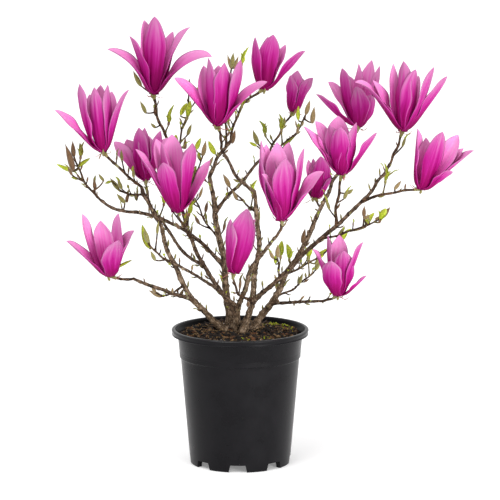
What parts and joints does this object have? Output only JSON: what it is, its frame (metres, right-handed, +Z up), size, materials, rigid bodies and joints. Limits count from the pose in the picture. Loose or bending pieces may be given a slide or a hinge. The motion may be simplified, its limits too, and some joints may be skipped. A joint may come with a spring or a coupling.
{
  "type": "potted magnolia shrub",
  "caption": "Flowering magnolia shrub with several stems, standing in a round black nursery pot of soil.",
  "frame": {"origin": "middle of the pot's underside, at ground level", "axes": "+Z up along the pot's axis, front of the plant towards -Y, +X to the plant's right in the picture"},
  "size_m": [0.594, 0.3852, 0.649],
  "materials": {
    "pot": "black moulded polypropylene with a fine matte texture",
    "soil": "damp bark compost",
    "bark": "grey-brown bark with pores and ring scars",
    "blooms": "soft satin petals, magenta at the root and paler at the tip",
    "buds": "downy olive buds and young green leaves"
  },
  "bodies": {
    "root": {"pot": "pot", "soil": "soil", "stem_left": "bark", "stem_back": "bark", "stem_front": "bark", "stem_middle": "bark", "stem_right": "bark", "bough_left_low": "bark", "bough_left_rise": "bark", "bough_left_cross": "bark", "bough_left_out": "bark", "bough_left_top": "bark", "bough_left_back": "bark", "bough_front_left": "bark", "bough_back_top": "bark", "bough_back_right": "bark", "bough_middle_top": "bark", "bough_right_front": "bark", "bough_right_high": "bark", "bough_right_low": "bark", "bough_right_back": "bark", "spray_bloom_01": "blooms", "spray_bloom_02": "blooms", "spray_bloom_03": "blooms", "spray_bloom_04": "blooms", "spray_bloom_05": "blooms", "spray_bloom_06": "blooms", "spray_bloom_07": "blooms", "spray_bloom_08": "blooms", "spray_bloom_09": "blooms", "spray_bloom_10": "blooms", "spray_bloom_11": "blooms", "spray_bloom_12": "blooms", "spray_bloom_13": "blooms", "spray_bloom_14": "blooms", "spray_bloom_15": "blooms", "spray_bloom_16": "blooms", "spray_buds_01": "buds", "spray_buds_02": "buds", "spray_buds_03": "buds", "spray_buds_04": "buds", "spray_buds_05": "buds", "spray_buds_06": "buds", "spray_buds_07": "buds", "spray_buds_08": "buds", "spray_buds_09": "buds", "spray_buds_10": "buds", "spray_buds_11": "buds", "spray_buds_12": "buds", "spray_buds_13": "buds", "spray_buds_14": "buds", "spray_buds_15": "buds"}
  },
  "joints": []
}
